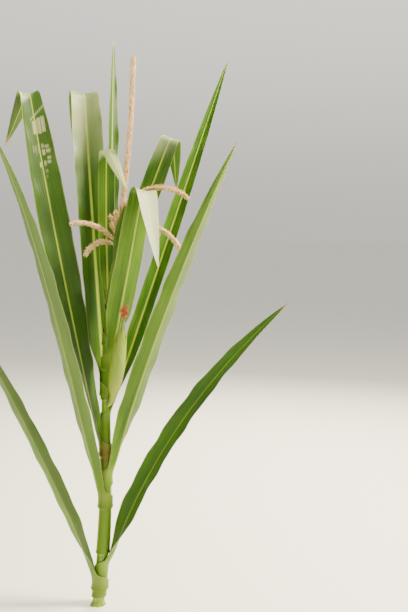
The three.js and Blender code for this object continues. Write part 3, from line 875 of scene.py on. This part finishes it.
# %% The skins of leaves and husks
VEIN_STEP = 0.0015
STRONG_VEIN_STEP = 0.006
LEAF_PATCHES = (26, 3.2, 1.7)
LEAF_STREAKS = (430, 5, 3.1)
WINDOW = "#d6d4aa"
# A painted highlight: the whitish colour of sun and sky shining on folds and hanging tips.
PAINTED_HIGHLIGHT = "#dfe5b8"
# A duller, darker grey-green that some blades are tinted with.
DULL_TINT = "#3d5a26"
DRY = "#c2a878"
FLUSH = "#96583a"
COLLAR = "#bccb5c"
EDGE = "#c9d08a"


def leaf_skin(name, deep, light, rib, foot, through, roughness, let_through):
    """A waxy plant skin with parallel veins, a pale midrib and margin, and the marks kept on its points."""
    material, tree = new_material(name)
    place = node(tree, "Attribute", output="Vector", attribute_name="place")
    across = node(tree, "SeparateXYZ", {0: place})

    fine = node(tree, "Math", {0: across, 1: 2 * math.pi / VEIN_STEP}, operation="MULTIPLY")
    fine = node(tree, "Math", {0: fine}, operation="SINE")
    strong = {0: across, 1: 2 * math.pi / STRONG_VEIN_STEP}
    strong = node(tree, "Math", strong, operation="MULTIPLY")
    strong = node(tree, "Math", {0: strong}, operation="SINE")
    strong = node(tree, "MapRange", {0: strong, 1: 0.3, 2: 1.0, 3: 0.0, 4: 1.0})
    between_veins = node(tree, "MapRange", {0: strong, 1: 0.0, 2: 1.0, 3: 1.0, 4: 0.35})

    broad = node(tree, "VectorMath", {0: place, 1: LEAF_PATCHES}, operation="MULTIPLY")
    broad = node(tree, "TexNoise", {"Vector": broad, "Scale": 1, "Detail": 3})
    streak = node(tree, "VectorMath", {0: place, 1: LEAF_STREAKS}, operation="MULTIPLY")
    streak = node(tree, "TexNoise", {"Vector": streak, "Scale": 1, "Detail": 2})

    tone = node(tree, "MapRange", {0: broad, 1: 0.35, 2: 0.66})
    tone = node(tree, "Mix", {0: tone, 6: colour(deep), 7: colour(light)}, 2, data_type="RGBA")
    lines = node(tree, "Math", {0: strong, 1: 0.13}, operation="MULTIPLY")
    drawn = node(tree, "MapRange", {0: streak, 1: 0.48, 2: 0.75, 4: 0.2})
    drawn = node(tree, "Math", {0: lines, 1: drawn}, operation="MAXIMUM")
    tone = node(tree, "Mix", {0: drawn, 6: tone, 7: colour(rib)}, 2, data_type="RGBA")
    # The pale mark below is a painted highlight, the whitish shine of sun and sky on folds and hanging tips.
    marks = [
        ("foot", 0.9, foot), ("collar", 0.3, COLLAR), ("flush", 0.8, FLUSH),
        ("dull_tint", 0.55, DULL_TINT), ("rib", 1.0, rib), ("edge", 0.55, EDGE),
        ("pale", 0.8, PAINTED_HIGHLIGHT), ("eaten", 0.85, WINDOW), ("dry", 1.0, DRY),
    ]
    for mark_name, most, tint in marks:
        amount = node(tree, "Attribute", output="Fac", attribute_name=mark_name)
        amount = node(tree, "Math", {0: amount, 1: most}, operation="MULTIPLY")
        if mark_name == "eaten":
            amount = node(tree, "Math", {0: amount, 1: between_veins}, operation="MULTIPLY")
        tone = node(tree, "Mix", {0: amount, 6: tone, 7: colour(tint)}, 2, data_type="RGBA")

    height = node(tree, "Math", {0: fine, 1: 0.25, 2: strong}, operation="MULTIPLY_ADD")
    bump = node(tree, "Bump", {"Strength": 0.5, "Distance": 0.0004, "Height": height})
    rough = node(tree, "MapRange", {0: streak, 3: roughness - 0.08, 4: roughness + 0.1})
    surface = node(tree, "BsdfPrincipled", {
        "Base Color": tone, "Roughness": rough, "Normal": bump, "IOR": 1.5,
        "Sheen Weight": 0.06, "Sheen Roughness": 0.4, "Sheen Tint": colour("#e6efe0"),
    })
    filtered = {0: 1.0, 6: tone, 7: colour(through)}
    passed = node(tree, "Mix", filtered, 2, data_type="RGBA", blend_type="MULTIPLY")
    behind = node(tree, "BsdfTranslucent", {"Color": passed, "Normal": bump})
    mixed = node(tree, "MixShader", {0: let_through, 1: surface, 2: behind})
    node(tree, "OutputMaterial", {0: mixed})
    return material


upper_skin = leaf_skin(
    "blade upper side, waxy", "#2f6000", "#4f8004", "#b4c650", "#6f9a00", "#ffff30", 0.36, 0.40
)
under_skin = leaf_skin(
    "blade underside, matt", "#437600", "#67960e", "#b7c850", "#74a002", "#ffff38", 0.44, 0.40
)
margin_skin = leaf_skin(
    "blade margin, hard and pale", "#a3b856", "#bcc974", "#d2d898", "#a0b34a", "#f8ff90", 0.50, 0.30
)
husk_out_skin = leaf_skin(
    "husk outside, ribbed", "#7fa018", "#a3b93a", "#c4cf64", "#a9bb44", "#fdff70", 0.50, 0.25
)
husk_in_skin = leaf_skin(
    "husk inside, silky", "#bcc987", "#d0d9a2", "#dbe2b4", "#d6dcae", "#fbffb0", 0.40, 0.25
)
print("Leaf and husk skins made")

# %% [markdown]
# ### Stalk, silk and tassel
#
# The stalk is a hard, shining rind, yellow-green, paler at its rings and flushed red-brown near the ground,
# with patches of 8 by 70 mm and streaks 1 mm wide and 5 cm long.
# Silk is moist and lets light through. The glumes of the spikelets are dry and papery, so they are rough and
# let some light through. Their three tints are plain colours, dealt out spikelet by spikelet by the way each
# faces, with a random spread: a lighter, pinker one as painted sunlight on those that face up, a darker
# straw-green one as painted shade on those that face down, and straw between. Their grain is drawn at 0.6 mm,
# coarser than it grows, so that it shows.

# %% The other skins
RIND_PATCHES = (120, 14, 120)
RIND_STREAKS = (900, 20, 900)


def rind_skin():
    """The stalk's rind: glossy, ribbed, ringed at the nodes and flushed at the foot."""
    material, tree = new_material("stalk rind, smooth and glossy")
    place = node(tree, "Attribute", output="Vector", attribute_name="place")
    broad = node(tree, "VectorMath", {0: place, 1: RIND_PATCHES}, operation="MULTIPLY")
    broad = node(tree, "TexNoise", {"Vector": broad, "Scale": 1, "Detail": 3})
    streak = node(tree, "VectorMath", {0: place, 1: RIND_STREAKS}, operation="MULTIPLY")
    streak = node(tree, "TexNoise", {"Vector": streak, "Scale": 1, "Detail": 2})
    tone = node(tree, "MapRange", {0: broad, 1: 0.35, 2: 0.68})
    greens = {0: tone, 6: colour("#5f8e00"), 7: colour("#86a810")}
    tone = node(tree, "Mix", greens, 2, data_type="RGBA")
    for mark_name, most, tint in [("ring", 0.6, "#cdd48e"), ("flush", 0.35, FLUSH)]:
        amount = node(tree, "Attribute", output="Fac", attribute_name=mark_name)
        amount = node(tree, "Math", {0: amount, 1: most}, operation="MULTIPLY")
        amount = node(tree, "Math", {0: amount, 1: streak}, operation="MULTIPLY")
        tone = node(tree, "Mix", {0: amount, 6: tone, 7: colour(tint)}, 2, data_type="RGBA")
    bump = node(tree, "Bump", {"Strength": 0.4, "Distance": 0.0003, "Height": streak})
    surface = node(tree, "BsdfPrincipled", {
        "Base Color": tone, "Roughness": 0.34, "Normal": bump, "IOR": 1.5,
    })
    node(tree, "OutputMaterial", {0: surface})
    return material


def papery_skin(name, shade, pale, roughness, let_through):
    """A dry or moist thin skin, with a slow change of tone from place to place."""
    material, tree = new_material(name)
    place = node(tree, "TexCoord", output="Object")
    mottle = node(tree, "TexNoise", {"Vector": place, "Scale": 140, "Detail": 3})
    tone = node(tree, "MapRange", {0: mottle, 1: 0.35, 2: 0.65})
    tone = node(tree, "Mix", {0: tone, 6: colour(shade), 7: colour(pale)}, 2, data_type="RGBA")
    grain = node(tree, "TexNoise", {"Vector": place, "Scale": 1600, "Detail": 2})
    bump = node(tree, "Bump", {"Strength": 0.35, "Distance": 0.0002, "Height": grain})
    surface = node(tree, "BsdfPrincipled", {
        "Base Color": tone, "Roughness": roughness, "Normal": bump,
    })
    behind = node(tree, "BsdfTranslucent", {"Color": tone})
    mixed = node(tree, "MixShader", {0: let_through, 1: surface, 2: behind})
    node(tree, "OutputMaterial", {0: mixed})
    return material


rind = rind_skin()
silk_skin = papery_skin("silk, moist and reddish", "#a84a26", "#dc9460", 0.35, 0.35)
rachis_skin = papery_skin("tassel twig, tough and straw-green", "#9fa04a", "#bdb568", 0.6, 0.1)
shank_skin = papery_skin("ear shank, green and tough", "#7d9a2c", "#9fb24c", 0.45, 0.05)
# The sunlit and shaded glumes are one papery skin in a painted-sunlight and a painted-shade copy.
glume_skins = {
    "sunlit": papery_skin("glumes sunlit, pink and papery", "#fad2a0", "#fff0cc", 0.6, 0.3),
    "straw": papery_skin("glumes straw, papery", "#f2d098", "#ffeabc", 0.6, 0.3),
    "green": papery_skin("glumes shaded, straw-green", "#bab368", "#d8cf8c", 0.6, 0.3),
}
print("Materials:", len(bpy.data.materials))

# %% [markdown]
# ## Dressing the pieces
#
# Every piece takes its materials, hides the CAD nodes that it stands for, and rides on the plant's one body.
# The thin pieces have three slots, in the order that Solidify deals them out: upper side, underside, rim.

# %% Give each piece its skin and its place in the frame
def dress(piece, skins, nodes=()):
    """Sets a piece's materials, hangs it on the plant's body and hides the CAD nodes that it stands for."""
    while len(piece.data.materials) < len(skins):
        piece.data.materials.append(None)
    for place, skin in enumerate(skins):
        piece.data.materials[place] = skin
    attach(piece, "root")
    if nodes:
        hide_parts(*nodes)


for order, piece in enumerate(leaf_pieces):
    name = f"leaf_{order + 1:02d}"
    nodes = [name] + ([f"{name}_hanging_tip"] if LEAVES[order]["kink"] < 1 else [])
    dress(piece, [upper_skin, under_skin, margin_skin], nodes)
dress(stalk, [rind], ["stalk"])
dress(shank, [shank_skin])
for piece in husks:
    dress(piece, [husk_in_skin, husk_out_skin, husk_out_skin])
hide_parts("ear")
dress(silk, [silk_skin], ["silk"])
tassel_nodes = ["tassel_spike"] + [f"tassel_branch_{k + 1}" for k in range(len(BRANCHES))]
dress(rachis, [rachis_skin], tassel_nodes)
for tint, piece in spikelets.items():
    dress(piece, [glume_skins[tint]])

# %% [markdown]
# ## Studio
#
# The plant stands on a plain pale floor. A large soft light stands high on the right, where the sun was, a
# second one behind lets the blades glow, and a wide dim one fills the left. The sky is brighter behind the
# plant than before it, and falls off toward the floor, so that floor and sky meet without a line. The camera
# is where the photographer stood: a little over a metre up, two and a half metres away, tilted down a little.

# %% Floor, lights and world
FLOOR_SIZE = 300
SKY_BEFORE = 0.32
SKY_BEHIND = 1.45
SKY_AT_FLOOR = 0.575
SKY_BRIGHT_SIDE = (0.45, 0.85, 0)
LIGHTS_AIM = 0.85
deselect()
bpy.ops.mesh.primitive_plane_add(size=FLOOR_SIZE, location=(0, 0, 0))
floor = bpy.context.object
floor.name = "studio_floor"
floor_skin, tree = new_material("studio floor, matt paper")
paper = node(tree, "BsdfPrincipled", {"Base Color": colour("#efede6"), "Roughness": 0.9})
node(tree, "OutputMaterial", {0: paper})
floor.data.materials.append(floor_skin)


def soft_light(name, place, size, watts, tint):
    """A square area light that looks at the middle of the plant."""
    deselect()
    bpy.ops.object.light_add(type="AREA", location=place)
    light = bpy.context.object
    light.name = name
    light.data.size = size
    light.data.energy = watts
    light.data.color = colour(tint)[:3]
    aim = np.array([0, 0, LIGHTS_AIM]) - place
    tilt = math.atan2(math.hypot(aim[0], aim[1]), -aim[2])
    heading = math.atan2(aim[0], -aim[1]) + math.pi
    light.rotation_euler = (tilt, 0, heading)


soft_light("light_sun_side", (2.3, -0.2, 3.1), 0.9, 460, "#fff0d4")
soft_light("light_behind", (1.0, 2.6, 2.4), 1.6, 240, "#fff4d4")
soft_light("light_fill", (-2.4, -2.6, 1.8), 2.5, 30, "#eef4ff")
world = bpy.data.worlds.new("studio")
world.use_nodes = True
world.node_tree.nodes.clear()
bpy.context.scene.world = world
tree = world.node_tree
direction = node(tree, "TexCoord", output="Generated")
toward = {0: direction, 1: SKY_BRIGHT_SIDE}
behind = node(tree, "VectorMath", toward, "Value", operation="DOT_PRODUCT")
strength = node(tree, "MapRange", {0: behind, 1: -1.0, 2: 1.0, 3: SKY_BEFORE, 4: SKY_BEHIND})
height = node(tree, "SeparateXYZ", {0: direction}, "Z")
sweep = {0: height, 1: 0.0, 2: 0.3, 3: SKY_AT_FLOOR, 4: 1.0}
sweep = node(tree, "MapRange", sweep, interpolation_type="SMOOTHSTEP")
strength = node(tree, "Math", {0: strength, 1: sweep}, operation="MULTIPLY")
sky = node(tree, "Background", {"Color": colour("#f6f4ea"), "Strength": strength})
node(tree, "OutputWorld", {0: sky})

# %% Camera
CAMERA_AT = (0.3068, -2.380, 1.0644)
CAMERA_PITCH = 4.775
deselect()
bpy.ops.object.camera_add(location=CAMERA_AT, rotation=(math.radians(90 - CAMERA_PITCH), 0, 0))
camera = bpy.context.object
camera.data.lens = 50
camera.data.sensor_width = 36
bpy.context.scene.camera = camera
print("Camera at", CAMERA_AT, "pitched down by", CAMERA_PITCH, "degrees")
